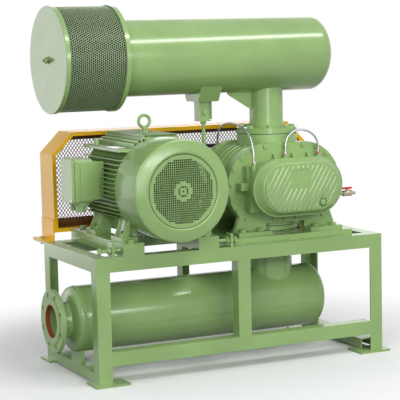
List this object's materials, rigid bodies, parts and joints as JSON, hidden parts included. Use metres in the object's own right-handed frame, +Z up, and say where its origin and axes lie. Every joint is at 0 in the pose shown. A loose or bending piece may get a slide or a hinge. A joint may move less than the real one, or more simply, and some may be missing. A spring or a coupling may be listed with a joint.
{
  "type": "roots vacuum pump",
  "caption": "Belt-driven lobed-rotor vacuum pump on a welded frame, with electric motor, belt guard, inlet filter and silencer above and a flanged discharge silencer below.",
  "frame": {"origin": "centre of the four anchor holes, at the underside of the foot plates", "axes": "+Z up; +X from the discharge flange towards the blower end; +Y from the motor fan end towards the belt guard"},
  "size_m": [1.56, 0.953, 1.648],
  "materials": {
    "green_paint": "semi-gloss sage green machine enamel",
    "guard_paint": "safety yellow enamel",
    "zinc_steel": "zinc-plated fasteners and fittings",
    "machined_steel": "machined steel",
    "cast_iron": "cast iron, machined where it runs",
    "brass": "plated brass valve",
    "red_plastic": "red moulded handle",
    "black_plastic": "black moulded plastic",
    "belt_rubber": "black rubber",
    "copper_winding": "varnished copper windings",
    "filter_paper": "pleated filter medium",
    "clear_glass": "oil sight glass",
    "braided_steel": "stainless braid over a hose"
  },
  "bodies": {
    "package": {"bearing_covers": "green_paint", "blower_base": "green_paint", "blower_bolts": "zinc_steel", "blower_casing": "green_paint", "cable_glands": "black_plastic", "discharge_flange": "green_paint", "discharge_silencer": "green_paint", "drain_pipe": "zinc_steel", "drive_belts": "belt_rubber", "end_shields": "green_paint", "fan_cowl": "green_paint", "filter_back_ring": "green_paint", "filter_element": "filter_paper", "flange_bolts": "zinc_steel", "flange_gaskets": "belt_rubber", "foot_plates": "green_paint", "frame_bolts": "zinc_steel", "frame_lugs": "green_paint", "frame_posts": "green_paint", "frame_rails": "green_paint", "front_end_plate": "green_paint", "gear_case": "green_paint", "gear_cover": "green_paint", "guard_mesh": "guard_paint", "guard_shell": "guard_paint", "hose_fittings": "zinc_steel", "inlet_pipe": "green_paint", "inlet_silencer": "green_paint", "jack_bolts": "zinc_steel", "left_hose": "braided_steel", "lifting_eye": "zinc_steel", "motor_beams": "green_paint", "motor_frame": "green_paint", "outlet_ring": "green_paint", "outlet_riser": "green_paint", "rear_end_plate": "green_paint", "right_hose": "braided_steel", "shaft_bearings": "machined_steel", "sight_glass": "clear_glass", "silencer_brackets": "green_paint", "silencer_cores": "machined_steel", "stator": "copper_winding", "support_cradle": "green_paint", "support_rod": "zinc_steel", "terminal_box": "green_paint", "terminal_lid": "green_paint", "valve_body": "brass"},
    "motor_rotor": {"motor_shaft": "machined_steel", "motor_fan": "black_plastic", "motor_pulley": "cast_iron"},
    "drive_rotor": {"drive_rotor": "cast_iron", "drive_gear": "machined_steel", "blower_pulley": "cast_iron"},
    "driven_rotor": {"driven_rotor": "cast_iron", "driven_gear": "machined_steel"},
    "valve_handle": {"valve_handle": "red_plastic"},
    "filter_cover": {"filter_cap": "green_paint", "filter_screen": "green_paint"},
    "wing_nut": {"wing_nut": "zinc_steel"}
  },
  "joints": [
    {"name": "drive_spin", "type": "hinge", "parent": "package", "child": "drive_rotor", "pos_m": [0.395, 0, 0.806], "axis": [0, 1, 0], "continuous": true},
    {"name": "driven_spin", "type": "hinge", "parent": "package", "child": "driven_rotor", "pos_m": [0.195, 0, 0.806], "axis": [0, 1, 0], "continuous": true},
    {"name": "motor_spin", "type": "hinge", "parent": "package", "child": "motor_rotor", "pos_m": [-0.361, 0, 0.841], "axis": [0, 1, 0], "continuous": true},
    {"name": "valve_turn", "type": "hinge", "parent": "package", "child": "valve_handle", "pos_m": [0.59, -0.24, 0.769], "axis": [0, 0, 1], "range_deg": [0, 90]},
    {"name": "filter_cover_slide", "type": "slide", "parent": "package", "child": "filter_cover", "axis": [-1, 0, 0], "range_m": [0, 0.3]},
    {"name": "wing_nut_spin", "type": "hinge", "parent": "filter_cover", "child": "wing_nut", "pos_m": [-0.79, 0, 1.41], "axis": [-1, 0, 0], "continuous": true}
  ],
  "couplings": [
    {"joint": "driven_spin", "follows": "drive_spin", "ratio": -1},
    {"joint": "motor_spin", "follows": "drive_spin", "ratio": 1.26}
  ]
}
